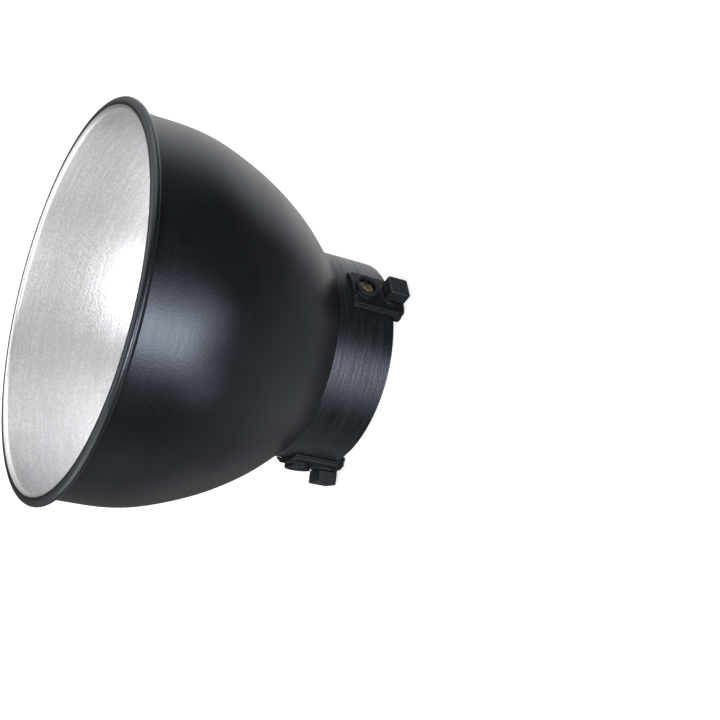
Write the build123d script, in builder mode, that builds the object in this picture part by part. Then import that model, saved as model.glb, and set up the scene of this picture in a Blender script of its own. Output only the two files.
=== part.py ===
from build123d import *
from math import atan2, cos, degrees, radians, sin, tan
import os

os.makedirs("parts", exist_ok=True)

# ---------------------------------------------------------------------------
# Bell reflector for a studio flash head, with three collar clamps.
# Units are millimetres.  +Z points along the light, out of the bell, and Z = 0
# is the plane that the three clamp noses stand on.  The axis of the bell is Z.
# ---------------------------------------------------------------------------

# Bell: one spun aluminium sheet
sheet = 1.2
rim_radius = 93.0
bead_radius = 2.9
bead_sweep = 300
overall_height = 144.5
grid_seat_length = 20.3
lip_radius = 3.0
throat_radius = 47.6
neck_bottom = 28.8

# Collar: a rolled tube under the bell
collar_radius = 50.5
collar_wall = 1.2
collar_bottom = 6.0
collar_top = 34.9
bevel_gap = 0.05

# Clamp body: a saddle over the collar's back edge
clamp_azimuths = [90, 210, 330]
skin_gap = 0.1
base_width = 21.0
base_thickness = 2.4
base_top = 27.8
nose_corner = 5.0
top_corner = 1.2
step_inset = 0.8
flange_thickness = 1.0
edge_break = 0.3
fin_thickness = 1.7
fin_reach = 53.2
fin_curve = 20.0
web_top = collar_bottom - 0.1
web_gap = 0.05

# Screw boss on the clamp body
screw_height = 21.2
boss_radius = 6.2
boss_face = 55.4
boss_recess_radius = 4.3
boss_recess_floor = 52.4

# Slotted brass clamp screw, M4
screw_radius = 2.0
screw_clearance = 2.2
screw_head_radius = 3.8
screw_head_height = 1.8
screw_tip = 47.85
screw_slot_width = 1.0
screw_slot_depth = 1.0
screw_slot_angle = 35
screw_head_edge = 0.4

# Inner pad and its threaded insert
pad_width = 20.5
pad_thickness = 1.5
pad_bottom = 0.3
pad_top = 28.0
pad_corner = 3.0
insert_radius = 3.0
insert_bore = 2.05

# Knob with its spindle, turning about a radial axis
knob_height = 6.9
knob_width = 10.2
knob_corner = 1.0
knob_underside = 54.1
knob_face = 60.2
knob_edge = 0.5
land_face = 53.8
land_radius = 6.4
spindle_radius = 2.5
spindle_bore = 2.56
spindle_flange_radius = 4.5
spindle_flange_inner = 51.2
spindle_flange_outer = 52.05
spindle_square = 3.6
spindle_square_end = 58.5
spindle_stub_radius = 1.5
spindle_stub_end = 48.45
pocket_radius = 4.8
pocket_roof = 52.55
notch_radius = 5.0

# Stop peg on the land, and the quarter-circle groove it runs in
stop_orbit = 3.9
stop_radius = 0.6
stop_height = 0.9
groove_half_width = 0.8
groove_depth = 1.1
groove_over_travel = 4
knob_turn = 90

# Pressure shoe, a double-D plunger that slides in the pad
shoe_radius = 3.8
shoe_half_flat = 3.0
shoe_clearance = 0.1
shoe_face = 47.85
shoe_back = 51.1
shoe_bore_radius = 1.57
shoe_bore_floor = 48.4

# Coned spring washer over the spindle's flange
washer_inner = 2.7
washer_outer = 4.5
washer_thickness = 0.2
washer_low = 52.08
washer_high = 52.32

# Derived
collar_bore = collar_radius - collar_wall
seat_radius = rim_radius - 2 * bead_radius
bead_centre_height = overall_height - bead_radius
seat_bottom = bead_centre_height - grid_seat_length
base_inner = collar_radius + skin_gap
base_outer = base_inner + base_thickness
pad_outer = collar_bore - skin_gap
pad_inner = pad_outer - pad_thickness

# The bell's sheet is drawn by its outer face.  The inner face runs parallel to it.
flank = [(50.5, 34.9), (64.5, 52.1), (74.8, 69.3), (82.1, 86.6), (87.0, 103.8)]
flank_rise = Vector(*flank[1]) - Vector(*flank[0])
flank_angle = atan2(flank_rise.Y, flank_rise.X)
flank_direction = Vector(cos(flank_angle), sin(flank_angle))
bend = 90 - degrees(flank_angle)
lip_centre_radius = throat_radius + lip_radius
outer_lip_radius = lip_radius - sheet
lip_run = lip_centre_radius - outer_lip_radius * cos(radians(bend))
lip_drop = (flank[0][0] - lip_run) * tan(flank_angle)
neck_top = flank[0][1] - lip_drop - outer_lip_radius * sin(radians(bend))
curve_steps = 10


def inset(curve, place):
    """The point one sheet's thickness inside a curve that climbs away from the axis."""
    point = curve @ place
    along = curve % place
    return (point.X - along.Y * sheet, point.Y + along.X * sheet)


# ------------------------------- the bell ----------------------------------
with BuildPart() as reflector_dish:
    with BuildSketch(Plane.XZ) as dish_profile:
        with BuildLine() as dish_line:
            bead_centre = (seat_radius + bead_radius, bead_centre_height)
            lip_centre = (lip_centre_radius, neck_top)
            outer_bowl = Spline(
                flank + [(seat_radius + sheet, seat_bottom)],
                tangents=[flank_direction, (0, 1)],
            )
            inner_bowl = Spline(
                [inset(outer_bowl, step / curve_steps) for step in range(curve_steps + 1)],
                tangents=[flank_direction, (0, 1)],
            )
            neck_inside = Line((throat_radius, neck_bottom), (throat_radius, neck_top))
            lip_inside = CenterArc(lip_centre, lip_radius, 180, -bend)
            Line(lip_inside @ 1, inner_bowl @ 0)
            Line(inner_bowl @ 1, (seat_radius, bead_centre_height))
            bead_outside = CenterArc(bead_centre, bead_radius, 180, -bead_sweep)
            bead_inside = CenterArc(bead_centre, bead_radius - sheet, 180, -bead_sweep)
            Line(bead_outside @ 1, bead_inside @ 1)
            Line(bead_inside @ 0, outer_bowl @ 1)
            lip_outside = CenterArc(lip_centre, outer_lip_radius, 180, -bend)
            Line(lip_outside @ 1, outer_bowl @ 0)
            Polyline(lip_outside @ 0, (throat_radius + sheet, neck_bottom), neck_inside @ 0)
        make_face()
    revolve(axis=Axis.Z)
reflector_dish.part.label = "reflector_dish"
export_step(reflector_dish.part, "parts/reflector_dish.step")
print("neck from", neck_bottom, "to", round(neck_top, 2))


def radial_plane(azimuth):
    """The plane through the axis that faces outward: X is along the rim, Y is up, Z is outward."""
    angle = radians(azimuth)
    return Plane(origin=(0, 0, 0), x_dir=(-sin(angle), cos(angle), 0), z_dir=(cos(angle), sin(angle), 0))


# ------------------------------ the collar ---------------------------------
with BuildPart() as collar_tube:
    with BuildSketch(Plane.XZ) as collar_profile:
        with BuildLine():
            bevel_rise = collar_wall * tan(flank_angle)
            Polyline(
                (collar_bore, collar_bottom),
                (collar_radius, collar_bottom),
                (collar_radius, collar_top - bevel_gap),
                (collar_bore, collar_top - bevel_gap - bevel_rise),
                close=True,
            )
        make_face()
    revolve(axis=Axis.Z)
    # A round notch for each spindle, and a clearance hole for each clamp screw.
    for azimuth in clamp_azimuths:
        outward = radial_plane(azimuth)
        with BuildSketch(outward.offset(collar_bore - 5)):
            with Locations((0, knob_height)):
                Circle(notch_radius)
            with Locations((0, screw_height)):
                Circle(screw_clearance)
        extrude(amount=10, mode=Mode.SUBTRACT)
collar_tube.part.label = "collar_tube"
export_step(collar_tube.part, "parts/collar_tube.step")


# ------------------------------ the clamps ---------------------------------
for number, azimuth in enumerate(clamp_azimuths, start=1):
    outward = radial_plane(azimuth)
    out_axis = Axis((0, 0, 0), outward.z_dir)
    knob_spot = (0, knob_height)
    screw_spot = (0, screw_height)

    # Clamp body: curved plate with a stepped edge, front fin, screw boss, knob land,
    # and the web that closes the gap under the collar's edge.
    with BuildPart() as clamp_base:
        with BuildSketch(Plane.XY):
            Circle(base_outer)
            Circle(base_inner, mode=Mode.SUBTRACT)
        extrude(amount=base_top)
        with BuildSketch(outward.offset(pad_inner - 5)):
            with Locations((0, base_top / 2)):
                Rectangle(base_width - 2 * step_inset, base_top - 2 * step_inset)
            fillet(vertices().group_by(Axis.Y)[0], nose_corner - step_inset)
            fillet(vertices().group_by(Axis.Y)[-1], top_corner)
        extrude(amount=20, mode=Mode.INTERSECT)
        plate_edges = faces().sort_by(out_axis)[-1].edges()
        chamfer(plate_edges, edge_break)
        with BuildSketch(outward.offset(pad_inner - 5), mode=Mode.PRIVATE) as flange_plan:
            with Locations((0, base_top / 2)):
                Rectangle(base_width, base_top)
            fillet(vertices().group_by(Axis.Y)[0], nose_corner)
            fillet(vertices().group_by(Axis.Y)[-1], top_corner)
        with BuildSketch(Plane.XY, mode=Mode.PRIVATE) as flange_ring:
            Circle(base_inner + flange_thickness)
            Circle(base_inner, mode=Mode.SUBTRACT)
        with BuildSketch(Plane.XY, mode=Mode.PRIVATE) as web_ring:
            Circle(base_inner)
            Circle(pad_outer + web_gap, mode=Mode.SUBTRACT)
        flange_prism = extrude(flange_plan.sketch, amount=20, mode=Mode.PRIVATE)
        add(extrude(flange_ring.sketch, amount=base_top, mode=Mode.PRIVATE) & flange_prism)
        add(extrude(web_ring.sketch, amount=web_top, mode=Mode.PRIVATE) & flange_prism)
        with BuildSketch(Plane.XY.offset(base_top - fin_thickness)):
            with PolarLocations(fin_reach - fin_curve, 1, start_angle=azimuth):
                Circle(fin_curve)
            Circle(base_inner, mode=Mode.SUBTRACT)
            with PolarLocations(fin_reach, 1, start_angle=azimuth):
                Rectangle(2 * fin_curve, base_width, mode=Mode.INTERSECT)
        extrude(amount=fin_thickness)
        with BuildSketch(outward.offset(base_inner + 1)):
            with Locations(screw_spot):
                Circle(boss_radius)
        extrude(amount=boss_face - base_inner - 1)
        chamfer(faces().sort_by(out_axis)[-1].edges(), edge_break)
        with BuildSketch(outward.offset(base_inner + 1)):
            with Locations(knob_spot):
                Circle(land_radius)
        extrude(amount=land_face - base_inner - 1)
        with BuildSketch(outward.offset(boss_face)):
            with Locations(screw_spot):
                Circle(boss_recess_radius)
        extrude(amount=boss_recess_floor - boss_face, mode=Mode.SUBTRACT)
        with BuildSketch(outward.offset(pad_inner)):
            with Locations(screw_spot):
                Circle(screw_clearance)
            with Locations(knob_spot):
                Circle(spindle_bore)
        extrude(amount=10, mode=Mode.SUBTRACT)
        with BuildSketch(outward.offset(pad_inner)):
            with Locations(knob_spot):
                Circle(pocket_radius)
        extrude(amount=pocket_roof - pad_inner, mode=Mode.SUBTRACT)
        with BuildSketch(outward.offset(land_face)):
            with Locations((0, knob_height + stop_orbit)):
                Circle(stop_radius)
        extrude(amount=stop_height)
    clamp_base.part.label = f"clamp_base_{number}"
    export_step(clamp_base.part, f"parts/clamp_base_{number}.step")

    # Inner pad: a curved plate inside the collar, with the insert's hole and the shoe's double-D hole.
    with BuildPart() as clamp_pad:
        with BuildSketch(Plane.XY.offset(pad_bottom)):
            Circle(pad_outer)
            Circle(pad_inner, mode=Mode.SUBTRACT)
        extrude(amount=pad_top - pad_bottom)
        with BuildSketch(outward.offset(pad_inner - 5)):
            with Locations((0, (pad_top + pad_bottom) / 2)):
                Rectangle(pad_width, pad_top - pad_bottom)
            fillet(vertices(), pad_corner)
        extrude(amount=20, mode=Mode.INTERSECT)
        with BuildSketch(outward.offset(pad_inner - 5)):
            with Locations(screw_spot):
                Circle(insert_radius)
            with BuildSketch(mode=Mode.PRIVATE) as shoe_hole:
                Circle(shoe_radius + shoe_clearance)
                Rectangle(3 * shoe_radius, 2 * (shoe_half_flat + shoe_clearance), mode=Mode.INTERSECT)
            with Locations(knob_spot):
                add(shoe_hole.sketch)
        extrude(amount=10, mode=Mode.SUBTRACT)
    clamp_pad.part.label = f"clamp_pad_{number}"
    export_step(clamp_pad.part, f"parts/clamp_pad_{number}.step")

    # Brass insert: the threaded bush in the pad, its thread drawn as a plain bore.
    with BuildPart() as pad_insert:
        with BuildSketch(Plane.XY):
            Circle(pad_outer)
            Circle(pad_inner, mode=Mode.SUBTRACT)
        extrude(amount=base_top)
        with BuildSketch(outward.offset(pad_inner - 5)):
            with Locations(screw_spot):
                Circle(insert_radius)
                Circle(insert_bore, mode=Mode.SUBTRACT)
        extrude(amount=10, mode=Mode.INTERSECT)
    pad_insert.part.label = f"pad_insert_{number}"
    export_step(pad_insert.part, f"parts/pad_insert_{number}.step")

    # Clamp screw: slotted head in the boss, shank through the collar into the insert.
    with BuildPart() as clamp_screw:
        with BuildSketch(outward.offset(screw_tip)):
            with Locations(screw_spot):
                Circle(screw_radius)
        extrude(amount=boss_recess_floor - screw_tip)
        with BuildSketch(outward.offset(boss_recess_floor)):
            with Locations(screw_spot):
                Circle(screw_head_radius)
        extrude(amount=screw_head_height)
        chamfer(faces().sort_by(out_axis)[-1].edges(), screw_head_edge)
        with BuildSketch(outward.offset(boss_recess_floor + screw_head_height)):
            with Locations(Location(screw_spot, screw_slot_angle)):
                Rectangle(3 * screw_head_radius, screw_slot_width)
        extrude(amount=-screw_slot_depth, mode=Mode.SUBTRACT)
    clamp_screw.part.label = f"clamp_screw_{number}"
    export_step(clamp_screw.part, f"parts/clamp_screw_{number}.step")

    # Lock knob: a square cap with a square socket and the stop groove in its underside.
    with BuildPart() as lock_knob:
        with BuildSketch(outward.offset(knob_underside)):
            with Locations(knob_spot):
                Rectangle(knob_width, knob_width)
            fillet(vertices(), knob_corner)
        extrude(amount=knob_face - knob_underside)
        chamfer(faces().sort_by(out_axis)[-1].edges(), knob_edge)
        with BuildSketch(outward.offset(knob_underside)):
            with Locations(knob_spot):
                Rectangle(spindle_square, spindle_square)
        extrude(amount=spindle_square_end - knob_underside, mode=Mode.SUBTRACT)
        with BuildSketch(outward.offset(knob_underside)):
            with Locations(knob_spot):
                with BuildLine(mode=Mode.PRIVATE) as groove_path:
                    CenterArc((0, 0), stop_orbit, 90 - groove_over_travel, knob_turn + 2 * groove_over_travel)
                SlotArc(groove_path.edges()[0], 2 * groove_half_width)
        extrude(amount=groove_depth, mode=Mode.SUBTRACT)
    lock_knob.part.label = f"lock_knob_{number}"
    export_step(lock_knob.part, f"parts/lock_knob_{number}.step")

    # Lock spindle: square end in the knob, neck in the body, flange, and the stub that drives the shoe.
    with BuildPart() as lock_spindle:
        with BuildSketch(outward.offset(spindle_stub_end)):
            with Locations(knob_spot):
                Circle(spindle_stub_radius)
        extrude(amount=spindle_flange_inner - spindle_stub_end)
        with BuildSketch(outward.offset(spindle_flange_inner)):
            with Locations(knob_spot):
                Circle(spindle_flange_radius)
        extrude(amount=spindle_flange_outer - spindle_flange_inner)
        with BuildSketch(outward.offset(spindle_flange_outer)):
            with Locations(knob_spot):
                Circle(spindle_radius)
        extrude(amount=knob_underside - spindle_flange_outer)
        with BuildSketch(outward.offset(knob_underside)):
            with Locations(knob_spot):
                Rectangle(spindle_square, spindle_square)
        extrude(amount=spindle_square_end - knob_underside)
    lock_spindle.part.label = f"lock_spindle_{number}"
    export_step(lock_spindle.part, f"parts/lock_spindle_{number}.step")

    # Coned spring washer between the flange and the roof of its pocket.
    knob_axis = Axis(outward.from_local_coords((0, knob_height, 0)), outward.z_dir)
    with BuildPart() as spring_washer:
        with BuildSketch(Plane(origin=knob_axis.position, x_dir=outward.z_dir, z_dir=outward.x_dir)):
            with BuildLine():
                Polyline(
                    (washer_low, washer_outer),
                    (washer_high, washer_inner),
                    (washer_high + washer_thickness, washer_inner),
                    (washer_low + washer_thickness, washer_outer),
                    close=True,
                )
            make_face()
        revolve(axis=knob_axis)
    spring_washer.part.label = f"spring_washer_{number}"
    export_step(spring_washer.part, f"parts/spring_washer_{number}.step")

    # Pressure shoe: slides in the pad, its threaded bore drawn plain.
    with BuildPart() as pressure_shoe:
        with BuildSketch(outward.offset(shoe_face)):
            with Locations(knob_spot):
                Circle(shoe_radius)
                Rectangle(3 * shoe_radius, 2 * shoe_half_flat, mode=Mode.INTERSECT)
        extrude(amount=shoe_back - shoe_face)
        with BuildSketch(outward.offset(shoe_bore_floor)):
            with Locations(knob_spot):
                Circle(shoe_bore_radius)
        extrude(amount=shoe_back - shoe_bore_floor, mode=Mode.SUBTRACT)
    pressure_shoe.part.label = f"pressure_shoe_{number}"
    export_step(pressure_shoe.part, f"parts/pressure_shoe_{number}.step")
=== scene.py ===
from math import atan2, cos, degrees, pi, radians, sin

import bmesh
import bpy
from mathutils import Matrix, Vector


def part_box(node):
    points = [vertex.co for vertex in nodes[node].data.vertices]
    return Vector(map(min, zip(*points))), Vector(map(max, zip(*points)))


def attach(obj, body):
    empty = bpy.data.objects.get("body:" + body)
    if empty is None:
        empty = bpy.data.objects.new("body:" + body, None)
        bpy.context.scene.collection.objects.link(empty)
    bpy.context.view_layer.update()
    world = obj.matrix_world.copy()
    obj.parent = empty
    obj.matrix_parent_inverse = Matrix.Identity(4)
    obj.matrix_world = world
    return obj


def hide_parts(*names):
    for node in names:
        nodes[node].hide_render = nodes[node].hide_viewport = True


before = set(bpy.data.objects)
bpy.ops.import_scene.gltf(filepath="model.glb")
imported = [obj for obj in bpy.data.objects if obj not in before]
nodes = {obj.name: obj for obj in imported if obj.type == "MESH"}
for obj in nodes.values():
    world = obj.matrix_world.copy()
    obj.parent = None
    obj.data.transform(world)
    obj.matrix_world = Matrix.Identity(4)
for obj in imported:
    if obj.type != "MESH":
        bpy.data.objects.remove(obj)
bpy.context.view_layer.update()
scene = bpy.context.scene

MM = 0.001
CLAMPS = (1, 2, 3)


# ------------------------------- small helpers -------------------------------
def link(obj):
    scene.collection.objects.link(obj)
    return obj


def mesh_object(name, mesh, materials):
    for material in materials:
        mesh.materials.append(material)
    return link(bpy.data.objects.new(name, mesh))


def polar(azimuth, elevation, distance):
    """A point at that azimuth (from +X towards +Y) and elevation, in degrees."""
    across = distance * cos(radians(elevation))
    up = distance * sin(radians(elevation))
    return Vector((across * cos(radians(azimuth)), across * sin(radians(azimuth)), up))


def arc(centre, radius, start, sweep, steps):
    """Points on an arc in (radius, height), its angles in degrees from the outward direction towards +Z."""
    made = []
    for step in range(steps + 1):
        angle = radians(start + sweep * step / steps)
        made.append(Vector((centre[0] + radius * cos(angle), centre[1] + radius * sin(angle))))
    return made


def face_outwards(mesh):
    work = bmesh.new()
    work.from_mesh(mesh)
    bmesh.ops.recalc_face_normals(work, faces=work.faces)
    work.to_mesh(mesh)
    work.free()


# --------------------------------- materials ---------------------------------
class Nodes:
    """A short way to write a node tree."""

    def __init__(self, tree):
        self.tree = tree

    def node(self, kind, settings=(), inputs=()):
        made = self.tree.nodes.new(kind)
        for key, value in dict(settings).items():
            setattr(made, key, value)
        for key, value in dict(inputs).items():
            if isinstance(value, bpy.types.NodeSocket):
                self.tree.links.new(value, made.inputs[key])
            else:
                made.inputs[key].default_value = value
        return made

    def math(self, operation, first, second):
        return self.node("ShaderNodeMath", {"operation": operation}, {0: first, 1: second}).outputs[0]

    def place(self):
        """The point on the piece, in metres of the shared frame."""
        return self.node("ShaderNodeTexCoord").outputs["Object"]

    def noise(self, vector, scale, detail, roughness):
        inputs = {"Vector": vector, "Scale": scale, "Detail": detail, "Roughness": roughness}
        return self.node("ShaderNodeTexNoise", {}, inputs).outputs["Fac"]

    def ramp(self, value, low, high, to_low, to_high):
        inputs = {"Value": value, "From Min": low, "From Max": high, "To Min": to_low, "To Max": to_high}
        made = self.node("ShaderNodeMapRange", {"interpolation_type": "SMOOTHSTEP"}, inputs)
        return made.outputs["Result"]

    def blend(self, factor, first, second):
        made = self.node("ShaderNodeMix", {"data_type": "RGBA"}, {0: factor, 6: first, 7: second})
        return made.outputs[2]

    def bump(self, height, distance, strength=1.0, under=None):
        """A bump `distance` metres deep, over another one if `under` is given."""
        inputs = {"Height": height, "Distance": distance, "Strength": strength}
        if under is not None:
            inputs["Normal"] = under
        return self.node("ShaderNodeBump", {}, inputs).outputs["Normal"]

    def from_axis(self):
        """The level vector from the Z axis to the point, its length, and the point's height."""
        split = self.node("ShaderNodeSeparateXYZ", {}, {0: self.place()})
        level = self.node("ShaderNodeCombineXYZ", {}, {0: split.outputs[0], 1: split.outputs[1]}).outputs[0]
        length = self.node("ShaderNodeVectorMath", {"operation": "LENGTH"}, {0: level})
        return level, length.outputs["Value"], split.outputs[2]

    def turned(self, around):
        """A vector whose noise is drawn out round the Z axis, as tool marks on a turned part are."""
        level, length, height = self.from_axis()
        unit = self.node("ShaderNodeVectorMath", {"operation": "NORMALIZE"}, {0: level}).outputs[0]
        spread = self.node("ShaderNodeVectorMath", {"operation": "SCALE"}, {0: unit, "Scale": around})
        parts = self.node("ShaderNodeSeparateXYZ", {}, {0: spread.outputs[0]})
        climb = self.math("ADD", length, height)
        joined = {0: parts.outputs[0], 1: parts.outputs[1], 2: climb}
        return self.node("ShaderNodeCombineXYZ", {}, joined).outputs[0]


class Surface(Nodes):
    """A material with one Principled shader."""

    def __init__(self, name, **constants):
        self.material = bpy.data.materials.new(name)
        self.material.use_nodes = True
        super().__init__(self.material.node_tree)
        self.shader = self.tree.nodes["Principled BSDF"]
        self.set(**constants)

    def set(self, **values):
        for key, value in values.items():
            socket = self.shader.inputs[key.replace("_", " ")]
            if isinstance(value, bpy.types.NodeSocket):
                self.tree.links.new(value, socket)
            else:
                socket.default_value = value


PAINT_TINT = (0.73, 0.86, 1.0, 1)
PAINT_BLACK = (0.0018, 0.0022, 0.003, 1)
PAINT_WORN = (0.0032, 0.0038, 0.0048, 1)
TUBE_DARK = (0.42, 0.43, 0.43, 1)
TUBE_LIGHT = (0.56, 0.57, 0.57, 1)
COLLAR_BARE_RADIUS = 49.6 * MM  # the collar's wall has its inner face within this and its outer face past it


def paint(name, specular, peel_depth, ring_depth, ring_scale, ring_gloss, bare_radius=0.0):
    """Semi-gloss black paint: orange peel over turning marks, and a little uneven gloss.
    The depths are in metres.  Nearer the axis than `bare_radius` the metal is bare: grey and satin."""
    n = Surface(name, Specular_IOR_Level=specular, Specular_Tint=PAINT_TINT)
    place = n.place()
    cloud = n.noise(place, 22.0, 4.0, 0.6)
    peel = n.noise(place, 900.0, 2.0, 0.55)
    rings = n.noise(n.turned(0.004), ring_scale, 4.0, 0.7)
    colour = n.blend(n.ramp(cloud, 0.3, 0.7, 0, 1), PAINT_BLACK, PAINT_WORN)
    gloss = n.math("ADD", n.ramp(cloud, 0.25, 0.75, 0.27, 0.32), n.ramp(rings, 0.4, 0.65, 0.0, ring_gloss))
    if bare_radius:
        bare = n.math("LESS_THAN", n.from_axis()[1], bare_radius)
        tube = n.blend(n.ramp(cloud, 0.3, 0.7, 0, 1), TUBE_DARK, TUBE_LIGHT)
        colour = n.blend(bare, colour, tube)
        gloss = n.math("ADD", gloss, n.math("MULTIPLY", bare, 0.06))
        n.set(Metallic=bare)
    n.set(Base_Color=colour, Roughness=gloss)
    n.set(Normal=n.bump(rings, ring_depth, under=n.bump(peel, peel_depth)))
    return n.material


def spun_silver():
    """Satin aluminium inside the bell: spinning marks round the axis, over a fine etched grain."""
    n = Surface("spun_silver", Metallic=1.0, Anisotropic=0.4, Anisotropic_Rotation=0.25)
    place = n.place()
    cloud = n.noise(place, 16.0, 4.0, 0.6)
    rings = n.noise(n.turned(0.006), 800.0, 3.0, 0.65)
    broad = n.noise(n.turned(0.006), 130.0, 2.0, 0.5)
    grain = n.noise(place, 800.0, 4.0, 0.7)
    clean = n.blend(n.ramp(broad, 0.3, 0.7, 0, 1), (0.88, 0.89, 0.89, 1), (0.95, 0.96, 0.96, 1))
    lined = n.blend(n.ramp(rings, 0.35, 0.65, 0.55, 0), clean, (0.72, 0.73, 0.73, 1))
    grainy = n.blend(n.ramp(grain, 0.35, 0.65, 0.7, 0), lined, (0.66, 0.67, 0.67, 1))
    round_axis = n.node("ShaderNodeTangent", {"direction_type": "RADIAL", "axis": "Z"})
    n.set(
        Base_Color=grainy,
        Roughness=n.ramp(cloud, 0.25, 0.75, 0.3, 0.37),
        Tangent=round_axis.outputs[0],
        Normal=n.bump(rings, 0.00011, under=n.bump(grain, 0.00026)),
    )
    return n.material


def raw_metal(name, dark, light, roughness):
    """Grey satin metal with coarse turning lines, inside the throat."""
    n = Surface(name, Metallic=1.0)
    cloud = n.noise(n.place(), 60.0, 4.0, 0.6)
    rings = n.noise(n.turned(0.01), 1400.0, 3.0, 0.6)
    n.set(
        Base_Color=n.blend(n.ramp(cloud, 0.3, 0.7, 0, 1), dark, light),
        Roughness=n.ramp(cloud, 0.25, 0.75, roughness - 0.04, roughness + 0.04),
        Normal=n.bump(rings, 0.00005, 0.6),
    )
    return n.material


def moulded(name, colour, roughness, specular):
    """Matte moulded plastic: spark-eroded grain and slightly cloudy gloss."""
    n = Surface(name, Specular_IOR_Level=specular, Specular_Tint=PAINT_TINT)
    place = n.place()
    cloud = n.noise(place, 160.0, 3.0, 0.6)
    grain = n.noise(place, 3600.0, 3.0, 0.6)
    darker = tuple(0.7 * c for c in colour[:3]) + (1,)
    n.set(
        Base_Color=n.blend(n.ramp(cloud, 0.3, 0.7, 0, 1), darker, colour),
        Roughness=n.ramp(cloud, 0.3, 0.7, roughness - 0.05, roughness + 0.06),
        Normal=n.bump(grain, 0.00004, 0.6),
    )
    return n.material


def metal(name, dark, light, roughness):
    """Machined metal: fine scratches and a mottled finish."""
    n = Surface(name, Metallic=1.0)
    place = n.place()
    cloud = n.noise(place, 420.0, 4.0, 0.6)
    drawn = n.node("ShaderNodeMapping", {}, {"Vector": place, "Scale": (1.0, 1.0, 0.12)})
    scratch = n.noise(drawn.outputs["Vector"], 2400.0, 3.0, 0.6)
    n.set(
        Base_Color=n.blend(n.ramp(cloud, 0.3, 0.7, 0, 1), dark, light),
        Roughness=n.ramp(cloud, 0.3, 0.7, roughness - 0.05, roughness + 0.07),
        Normal=n.bump(scratch, 0.00002, 0.5),
    )
    return n.material


bell_black = paint("bell_black", 0.6, 0.000045, 0.00001, 700.0, 0.03)
collar_black = paint("collar_black", 0.72, 0.00003, 0.00015, 650.0, 0.12, COLLAR_BARE_RADIUS)
silver = spun_silver()
tube_grey = raw_metal("tube_grey", TUBE_DARK, TUBE_LIGHT, 0.44)
weld_grey = raw_metal("weld_grey", (0.07, 0.07, 0.075, 1), (0.16, 0.16, 0.165, 1), 0.5)
body_plastic = moulded("body_plastic", (0.0035, 0.004, 0.0045, 1), 0.46, 0.3)
knob_plastic = moulded("knob_plastic", (0.005, 0.006, 0.0062, 1), 0.44, 0.36)
nylon = moulded("shoe_nylon", (0.03, 0.03, 0.029, 1), 0.55, 0.4)
# The brass runs in random patches from near black to its own bright colour: the near-black end is painted
# shade, standing for the screw's deep seat in its recess.
brass = metal("brass", (0.06, 0.043, 0.02, 1), (0.72, 0.62, 0.42, 1), 0.28)
steel = metal("steel", (0.42, 0.42, 0.43, 1), (0.6, 0.6, 0.61, 1), 0.3)
spring = metal("spring", (0.3, 0.3, 0.32, 1), (0.5, 0.5, 0.52, 1), 0.25)


# ------------------------------- the bell sheet ------------------------------
# Its outline is drawn in millimetres, as (radius, height).
SHEET = 1.2
bell_low, bell_high = (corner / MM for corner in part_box("reflector_dish"))
neck_bottom, bell_top, rim_radius = bell_low.z, bell_high.z, bell_high.x

# the rim's roll, a little flattened along the axis
BEAD_RADIUS = 2.9
BEAD_FLATNESS = 0.75
BEAD_SWEEP = 300
SILVER_REACH = 60  # how far round the roll the silver goes, in degrees, before the paint begins
PAINT_STEP = 6
bead_centre = Vector((rim_radius - BEAD_RADIUS, bell_top - BEAD_RADIUS * BEAD_FLATNESS))

# the straight wall behind the rim, and the neck with the lip that joins it to the bowl
seat_radius = bead_centre.x - BEAD_RADIUS
seat_bottom = bell_top - 23.2
THROAT_RADIUS = 47.6
LIP_RADIUS = 3.0
LIP_HEIGHT = 32.17
BARE_TOP = 30.5
EDGE_BREAK = 0.15

# the bowl's outer face, from the lip up to the straight wall
FLANK = [(50.5, 34.9), (64.5, 52.1), (74.8, 69.3), (82.1, 86.6), (87.0, 103.8)]
flank_angle = atan2(FLANK[1][1] - FLANK[0][1], FLANK[1][0] - FLANK[0][0])
lip_bend = 90 - degrees(flank_angle)


def smooth_curve(points, start_tangent, end_tangent, steps):
    """Points on a smooth curve through `points`, each stretch a cubic with shared tangents at its ends."""
    tangents = [Vector(start_tangent)]
    for before, after in zip(points[:-2], points[2:]):
        tangents.append((Vector(after) - Vector(before)).normalized())
    tangents.append(Vector(end_tangent))
    made = []
    for i, (first, last) in enumerate(zip(points[:-1], points[1:])):
        p, q = Vector(first), Vector(last)
        reach = (q - p).length
        for step in range(steps):
            t = step / steps
            made.append(
                (2 * t**3 - 3 * t**2 + 1) * p
                + (t**3 - 2 * t**2 + t) * reach * tangents[i]
                + (3 * t**2 - 2 * t**3) * q
                + (t**3 - t**2) * reach * tangents[i + 1]
            )
    made.append(Vector(points[-1]))
    return made


def bead_arc(radius, start, sweep, steps):
    """An arc of the rim's roll."""
    made = arc(bead_centre, radius, start, sweep, steps)
    return [Vector((p.x, bead_centre.y + (p.y - bead_centre.y) * BEAD_FLATNESS)) for p in made]


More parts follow.
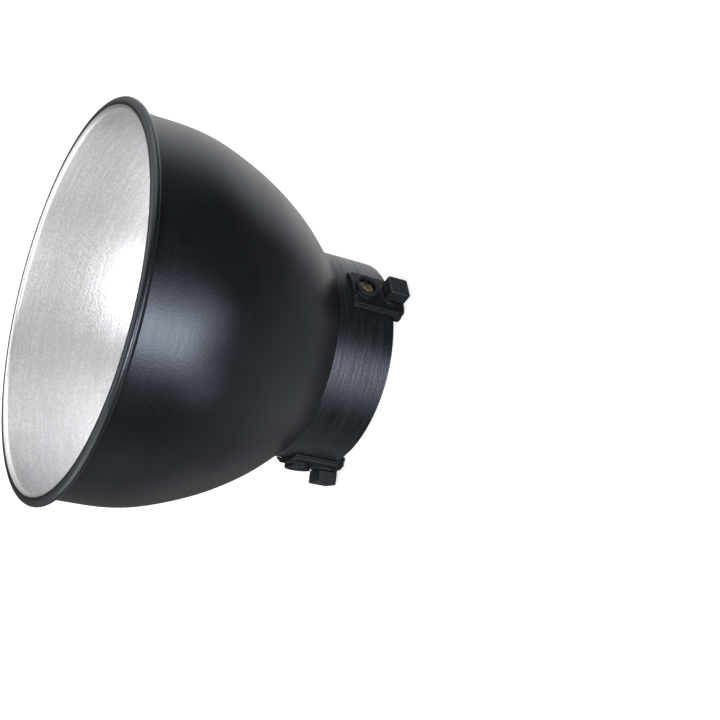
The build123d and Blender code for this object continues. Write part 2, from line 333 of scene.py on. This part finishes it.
def bell_outline():
    """The sheet's closed outline in three stretches: silver inside, black outside, and the bare neck."""
    outer_seat = seat_radius + SHEET
    outer_throat = THROAT_RADIUS + SHEET
    lip = (THROAT_RADIUS + LIP_RADIUS, LIP_HEIGHT)
    climb = (cos(flank_angle), sin(flank_angle))

    bowl = smooth_curve(FLANK + [(outer_seat, seat_bottom)], climb, (0, 1), 8)
    inside = []
    for i, point in enumerate(bowl):
        along = (bowl[min(i + 1, len(bowl) - 1)] - bowl[max(i - 1, 0)]).normalized()
        inside.append(point + SHEET * Vector((-along.y, along.x)))
    inside[-1] = Vector((seat_radius, seat_bottom))

    bright = arc(lip, LIP_RADIUS, 180, -lip_bend, 8) + inside
    seat_height = bead_centre.y - seat_bottom
    bright += [Vector((seat_radius, seat_bottom + seat_height * k / 6)) for k in range(1, 6)]
    bright += bead_arc(BEAD_RADIUS, 180, -SILVER_REACH, 16)

    painted_from = SILVER_REACH + PAINT_STEP
    black = bead_arc(BEAD_RADIUS, 180 - painted_from, painted_from - BEAD_SWEEP, 34)
    black += bead_arc(BEAD_RADIUS - SHEET, 180 - BEAD_SWEEP, BEAD_SWEEP, 30)
    black += [Vector((outer_seat, bead_centre.y - drop)) for drop in (3, 8, 14)]
    black += reversed(bowl)
    black += reversed(arc(lip, LIP_RADIUS - SHEET, 180, -lip_bend, 8))
    black += [
        Vector((outer_throat, neck_bottom + EDGE_BREAK)),
        Vector((outer_throat - EDGE_BREAK, neck_bottom)),
        Vector((THROAT_RADIUS + EDGE_BREAK, neck_bottom)),
    ]

    bare = [Vector((THROAT_RADIUS, neck_bottom + EDGE_BREAK)), Vector((THROAT_RADIUS, BARE_TOP))]
    return bright, black, bare


def lathe(name, stretches, segments):
    """Turns a closed outline round Z.  It is given as stretches of (material, points)."""
    outline = [point for material, points in stretches for point in points]
    slots = [slot for slot, (material, points) in enumerate(stretches) for point in points]
    count = len(outline)
    verts, faces = [], []
    for turn in range(segments):
        angle = 2 * pi * turn / segments
        verts += [(p.x * cos(angle) * MM, p.x * sin(angle) * MM, p.y * MM) for p in outline]
        here, there = turn * count, (turn + 1) % segments * count
        for i in range(count):
            j = (i + 1) % count
            faces.append((here + i, here + j, there + j, there + i))
    mesh = bpy.data.meshes.new(name)
    mesh.from_pydata(verts, [], faces)
    for k, face in enumerate(mesh.polygons):
        face.material_index = slots[k % count]
        face.use_smooth = True
    made = mesh_object(name, mesh, [material for material, points in stretches])
    face_outwards(mesh)
    return made


bright, black, bare = bell_outline()
bell = lathe("bell", [(silver, bright), (bell_black, black), (tube_grey, bare)], 288)
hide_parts("reflector_dish")
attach(bell, "root")


# --------------------------------- CAD nodes ---------------------------------
def dress(node, material):
    nodes[node].material_slots[0].material = material


def rounded(name, node, body, material, voxel, passes):
    """A copy of a CAD node whose edges are worn round, as a moulding's are.  It stands for the node."""
    copy = mesh_object(name, nodes[node].data.copy(), [])
    copy.data.materials.clear()
    copy.data.materials.append(material)
    weld = copy.modifiers.new("weld", "WELD")
    weld.merge_threshold = 0.002 * MM
    cut = copy.modifiers.new("cut", "REMESH")
    cut.mode = "VOXEL"
    cut.voxel_size = voxel * MM
    cut.use_smooth_shade = True
    ease = copy.modifiers.new("ease", "SMOOTH")
    ease.factor = 0.5
    ease.iterations = passes
    shaped = bpy.data.meshes.new_from_object(copy.evaluated_get(bpy.context.evaluated_depsgraph_get()))
    copy.modifiers.clear()
    copy.data = shaped
    shaped.name = name
    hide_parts(node)
    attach(copy, body)


dress("collar_tube", collar_black)
for k in CLAMPS:
    rounded(f"clamp_body_{k}", f"clamp_base_{k}", "root", body_plastic, 0.2, 4)
    rounded(f"inner_pad_{k}", f"clamp_pad_{k}", "root", body_plastic, 0.2, 4)
    rounded(f"square_knob_{k}", f"lock_knob_{k}", f"knob_{k}", knob_plastic, 0.16, 5)
    dress(f"pressure_shoe_{k}", nylon)
    dress(f"pad_insert_{k}", brass)
    dress(f"clamp_screw_{k}", brass)
    dress(f"lock_spindle_{k}", steel)
    dress(f"spring_washer_{k}", spring)


# ------------------------------ the collar's seam ----------------------------
SEAM_WALL = 49.42  # the radius that the ridge stands on, just inside the collar's wall
SEAM_HEIGHT, SEAM_WIDTH = 0.42, 1.0
SEAM_TOP, SEAM_BOTTOM = (115.0, 28.3), (122.5, 7.2)  # (azimuth in degrees, height)


def seam_ring(t, sides):
    """The ridge's cross-section at `t` of its way down: a half round that swells and strays a little."""
    azimuth = SEAM_TOP[0] + (SEAM_BOTTOM[0] - SEAM_TOP[0]) * t + 0.25 * sin(9 * t)
    height = SEAM_TOP[1] + (SEAM_BOTTOM[1] - SEAM_TOP[1]) * t
    swell = 1 + 0.18 * sin(31 * t) + 0.1 * sin(57 * t)
    ring = []
    for side in range(sides + 1):
        turn = pi * side / sides
        radius = SEAM_WALL - SEAM_HEIGHT * swell * sin(turn)
        aside = degrees(SEAM_WIDTH / 2 * swell * cos(turn) / SEAM_WALL)
        ring.append(polar(azimuth + aside, 0, radius * MM) + Vector((0, 0, height * MM)))
    return ring


def seam():
    """A low weld ridge that runs down the collar's inner wall, a little aslant."""
    steps, sides = 40, 8
    row = sides + 1
    verts, faces = [], []
    for step in range(steps + 1):
        verts += seam_ring(step / steps, sides)
    for step in range(steps):
        here, there = step * row, (step + 1) * row
        for i in range(row):
            j = (i + 1) % row
            faces.append((here + i, here + j, there + j, there + i))
    faces.append(range(row))
    faces.append(range(steps * row, steps * row + row))
    mesh = bpy.data.meshes.new("collar_seam")
    mesh.from_pydata(verts, [], faces)
    for face in mesh.polygons:
        face.use_smooth = len(face.vertices) == 4
    made = mesh_object("collar_seam", mesh, [weld_grey])
    face_outwards(mesh)
    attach(made, "root")


seam()


# --------------------------- floor, lights and camera ------------------------
# The floor's sizes, in metres, and its own glow.
FLOOR_RADIUS, FLOOR_SWEEP, WALL_TOP = 3.0, 1.0, 2.6
FLOOR_GLOW = 0.6

# Each is (azimuth, elevation, full within, fades out at, strength), its angles in degrees.
GLOWS = [
    (0, -90, 12, 40, 0.34),
    (60, -28, 10, 40, 1.0),
    (139, -28, 8, 34, 0.17),
    (-170, -45, 10, 45, 0.22),
    (15, 25, 5, 42, 2.0),
    (65, 25, 5, 42, 0.65),
    (150, 25, 5, 42, 0.3),
    (-165, 25, 5, 42, 2.5),
    (105, 70, 5, 42, 1.7),
]

# Each is (name, azimuth, elevation, (width, height) in metres, power in watts).
PANELS = [
    ("key", -80, -10, (0.45, 0.45), 5.2),
    ("key_wide", -78, -10, (0.9, 0.8), 4.5),
    ("key_high", -92, 35, (0.38, 0.38), 8),
    ("key_low", -68, -32, (0.35, 0.35), 0.45),
    ("key_side", -104, -34, (0.4, 0.4), 0.55),
]
PANEL_DISTANCE = 1.1
PANEL_TARGET = Vector((0, 0, 0.08))
PANEL_TINT = (1.0, 0.95, 1.0)

CAMERA_PLACE = (0.16845, -0.57921, 0.31783)
CAMERA_AZIMUTH, CAMERA_ELEVATION, CAMERA_ROLL = 15.822, 28.166, -76.298
CAMERA_LENS, CAMERA_SENSOR = 69.143, 36


def backdrop():
    """A pale round floor whose edge sweeps up into a wall.  It takes no part in reflections."""
    outline = [Vector((1, 0)), Vector((FLOOR_RADIUS, 0))]
    outline += arc((FLOOR_RADIUS, FLOOR_SWEEP), FLOOR_SWEEP, -90, 90, 16)[1:]
    outline += [Vector((FLOOR_RADIUS + FLOOR_SWEEP, WALL_TOP))]
    segments, count = 96, len(outline)
    verts, faces = [(0, 0, 0)], []
    for turn in range(segments):
        angle = 2 * pi * turn / segments
        verts += [(p.x * cos(angle), p.x * sin(angle), p.y) for p in outline]
        here, there = 1 + turn * count, 1 + (turn + 1) % segments * count
        faces.append((0, here, there))
        for i in range(count - 1):
            faces.append((here + i, here + i + 1, there + i + 1, there + i))
    mesh = bpy.data.meshes.new("backdrop")
    mesh.from_pydata(verts, [], faces)
    for face in mesh.polygons:
        face.use_smooth = True
    n = Surface("backdrop", Roughness=0.9, Specular_IOR_Level=0.1, Emission_Strength=FLOOR_GLOW)
    cloud = n.noise(n.place(), 3.0, 2.0, 0.5)
    n.set(Base_Color=n.blend(cloud, (0.56, 0.56, 0.56, 1), (0.6, 0.6, 0.6, 1)), Emission_Color=(1, 1, 1, 1))
    made = mesh_object("backdrop", mesh, [n.material])
    made.visible_glossy = False
    made.visible_shadow = False


def panel(name, azimuth, elevation, size, power):
    """A soft rectangular light that faces the object."""
    data = bpy.data.lights.new(name, "AREA")
    data.shape = "RECTANGLE"
    data.size, data.size_y = size
    data.energy = power
    data.color = PANEL_TINT
    made = link(bpy.data.objects.new(name, data))
    made.location = PANEL_TARGET + polar(azimuth, elevation, PANEL_DISTANCE)
    made.rotation_euler = (PANEL_TARGET - made.location).to_track_quat("-Z", "Y").to_euler()
    made.visible_camera = False


def world_light():
    """The studio around the object: soft pale glows in the dark."""
    world = bpy.data.worlds.new("studio")
    world.use_nodes = True
    scene.world = world
    n = Nodes(world.node_tree)
    way = n.node("ShaderNodeTexCoord").outputs["Generated"]
    total = 0.0
    for azimuth, elevation, full, fade, strength in GLOWS:
        settings, inputs = {"operation": "DOT_PRODUCT"}, {0: way, 1: polar(azimuth, elevation, 1)}
        nearness = n.node("ShaderNodeVectorMath", settings, inputs).outputs["Value"]
        glow = n.ramp(nearness, cos(radians(fade)), cos(radians(full)), 0.0, strength)
        total = n.math("ADD", total, glow)
    back = world.node_tree.nodes["Background"]
    back.inputs["Color"].default_value = (1, 1, 1, 1)
    world.node_tree.links.new(total, back.inputs["Strength"])


def add_camera():
    """The camera leans about its own line of sight, so that the bell lies on its side in the view."""
    azimuth, elevation = radians(CAMERA_AZIMUTH), radians(CAMERA_ELEVATION)
    ahead = Vector((-sin(azimuth) * cos(elevation), cos(azimuth) * cos(elevation), -sin(elevation)))
    level = Vector((cos(azimuth), sin(azimuth), 0))
    roll = radians(CAMERA_ROLL)
    right = cos(roll) * level + sin(roll) * level.cross(ahead)
    up = right.cross(ahead)
    data = bpy.data.cameras.new("camera")
    data.sensor_width = CAMERA_SENSOR
    data.lens = CAMERA_LENS
    camera = link(bpy.data.objects.new("camera", data))
    turn = Matrix((right, up, -ahead)).transposed()
    camera.matrix_world = Matrix.Translation(CAMERA_PLACE) @ turn.to_4x4()
    scene.camera = camera


scene.view_settings.view_transform = "Standard"
backdrop()
world_light()
for light in PANELS:
    panel(*light)
add_camera()
